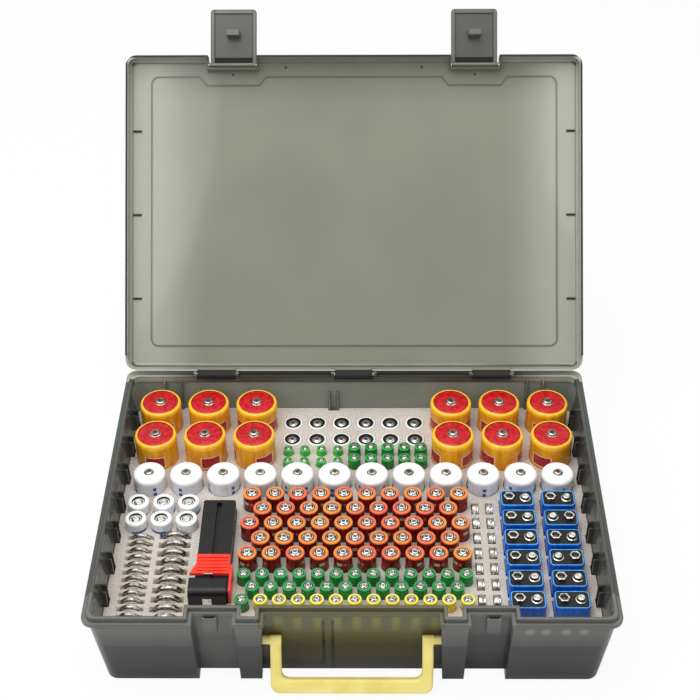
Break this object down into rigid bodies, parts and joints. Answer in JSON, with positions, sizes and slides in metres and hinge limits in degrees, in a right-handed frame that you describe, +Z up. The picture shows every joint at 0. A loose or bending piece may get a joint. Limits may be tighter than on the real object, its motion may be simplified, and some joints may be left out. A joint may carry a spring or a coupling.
{
  "type": "battery storage case",
  "caption": "Open carrying case in smoky translucent plastic with hinged lid, flip latches, swing handle, foam insert holding household batteries of many sizes, and a cell tester",
  "frame": {"origin": "centre of the underside of the case body, on the table", "axes": "+X to the right seen from the front, +Y from the handle to the hinge, +Z up out of the open case"},
  "size_m": [0.3876, 0.4919, 0.3098],
  "materials": {
    "base_plastic": "smoky grey-green translucent polypropylene, softly glossy, faint flow marks",
    "lid_plastic": "smoky grey-green translucent polypropylene, thinner than the base",
    "latch_plastic": "same smoky plastic as the lid",
    "handle_plastic": "pale yellow moulded plastic, satin",
    "steel": "bright nickel-plated steel",
    "foam": "beige-grey foam with fine dark speckle",
    "d_jacket": "amber printed film",
    "d_top": "red insulating disc with a yellow ring",
    "white_jacket": "white printed film",
    "aa_jacket": "dark red film with an orange ring at the top",
    "green_jacket": "green film",
    "yellow_jacket": "yellow film",
    "dark_green_jacket": "deep green film",
    "bright_green_jacket": "bright green film",
    "blue_can": "deep blue film over a steel can, pale blue edge",
    "black_plastic": "black moulded plastic",
    "short_top": "black insulating disc inside a white ring",
    "tester_red": "coral red moulded plastic"
  },
  "bodies": {
    "case_base": {"base_shell": "base_plastic", "foam_insert": "foam", "hinge_pins": "steel"},
    "lid": {"lid_shell": "lid_plastic", "latch_pins": "steel"},
    "left_latch": {"latch_left": "latch_plastic"},
    "right_latch": {"latch_right": "latch_plastic"},
    "carry_handle": {"handle": "handle_plastic"},
    "tester": {"tester_body": "black_plastic"},
    "tester_arm": {"tester_slider": "tester_red", "tester_jaw": "black_plastic", "tester_contacts": "steel"},
    "d_cells": {"d_cell_jackets": "d_jacket", "d_cell_tops": "d_top", "d_cell_terminals": "steel"},
    "c_cells": {"c_cell_jackets": "white_jacket", "c_cell_tops": "steel", "c_cell_terminals": "steel"},
    "aa_cells": {"aa_cell_jackets": "aa_jacket", "aa_cell_terminals": "steel"},
    "aaa_cells": {"aaa_green_jackets": "green_jacket", "aaa_green_terminals": "steel", "aaa_yellow_jackets": "yellow_jacket", "aaa_yellow_terminals": "steel"},
    "short_cells": {"short_cell_jackets": "white_jacket", "short_cell_tops": "short_top", "short_cell_terminals": "steel"},
    "photo_cells": {"photo_cell_jackets": "white_jacket", "photo_cell_terminals": "steel"},
    "slim_cells": {"slim_cell_jackets": "bright_green_jacket", "slim_cell_terminals": "steel"},
    "alarm_cells": {"alarm_cell_jackets": "dark_green_jacket", "alarm_cell_terminals": "steel"},
    "block_cells": {"block_cell_cans": "blue_can", "block_cell_tops": "black_plastic", "block_cell_studs": "steel", "block_cell_sockets": "steel"},
    "button_cells": {"button_cells": "steel"},
    "coin_cells": {"coin_cells_small": "steel", "coin_cells_large": "steel"}
  },
  "joints": [
    {"name": "lid_hinge", "type": "hinge", "parent": "case_base", "child": "lid", "pos_m": [0, 0.1335, 0.0775], "axis": [-1, 0, 0], "range_deg": [-130, 0]},
    {"name": "left_latch_pivot", "type": "hinge", "parent": "lid", "child": "left_latch", "pos_m": [-0.1034, 0.30664, 0.27684], "axis": [-1, 0, 0], "range_deg": [-90, 0]},
    {"name": "right_latch_pivot", "type": "hinge", "parent": "lid", "child": "right_latch", "pos_m": [0.1034, 0.30664, 0.27684], "axis": [-1, 0, 0], "range_deg": [-90, 0]},
    {"name": "handle_pivot", "type": "hinge", "parent": "case_base", "child": "carry_handle", "pos_m": [0, -0.1258, 0.043], "axis": [-1, 0, 0], "range_deg": [-20, 80]},
    {"name": "tester_lift", "type": "slide", "parent": "case_base", "child": "tester", "axis": [0, 0, 1], "range_m": [0, 0.03]},
    {"name": "tester_arm_slide", "type": "slide", "parent": "tester", "child": "tester_arm", "axis": [0, -1, 0], "range_m": [0, 0.014]},
    {"name": "d_cells_lift", "type": "slide", "parent": "case_base", "child": "d_cells", "axis": [0, 0, 1], "range_m": [0, 0.06]},
    {"name": "c_cells_lift", "type": "slide", "parent": "case_base", "child": "c_cells", "axis": [0, 0, 1], "range_m": [0, 0.05]},
    {"name": "aa_cells_lift", "type": "slide", "parent": "case_base", "child": "aa_cells", "axis": [0, 0, 1], "range_m": [0, 0.05]},
    {"name": "aaa_cells_lift", "type": "slide", "parent": "case_base", "child": "aaa_cells", "axis": [0, 0, 1], "range_m": [0, 0.05]},
    {"name": "short_cells_lift", "type": "slide", "parent": "case_base", "child": "short_cells", "axis": [0, 0, 1], "range_m": [0, 0.03]},
    {"name": "photo_cells_lift", "type": "slide", "parent": "case_base", "child": "photo_cells", "axis": [0, 0, 1], "range_m": [0, 0.03]},
    {"name": "slim_cells_lift", "type": "slide", "parent": "case_base", "child": "slim_cells", "axis": [0, 0, 1], "range_m": [0, 0.025]},
    {"name": "alarm_cells_lift", "type": "slide", "parent": "case_base", "child": "alarm_cells", "axis": [0, 0, 1], "range_m": [0, 0.022]},
    {"name": "block_cells_lift", "type": "slide", "parent": "case_base", "child": "block_cells", "axis": [0, 0, 1], "range_m": [0, 0.05]},
    {"name": "button_cells_lift", "type": "slide", "parent": "case_base", "child": "button_cells", "axis": [0, 0, 1], "range_m": [0, 0.012]},
    {"name": "coin_cells_lift", "type": "slide", "parent": "case_base", "child": "coin_cells", "axis": [0, 0, 1], "range_m": [0, 0.02]}
  ]
}
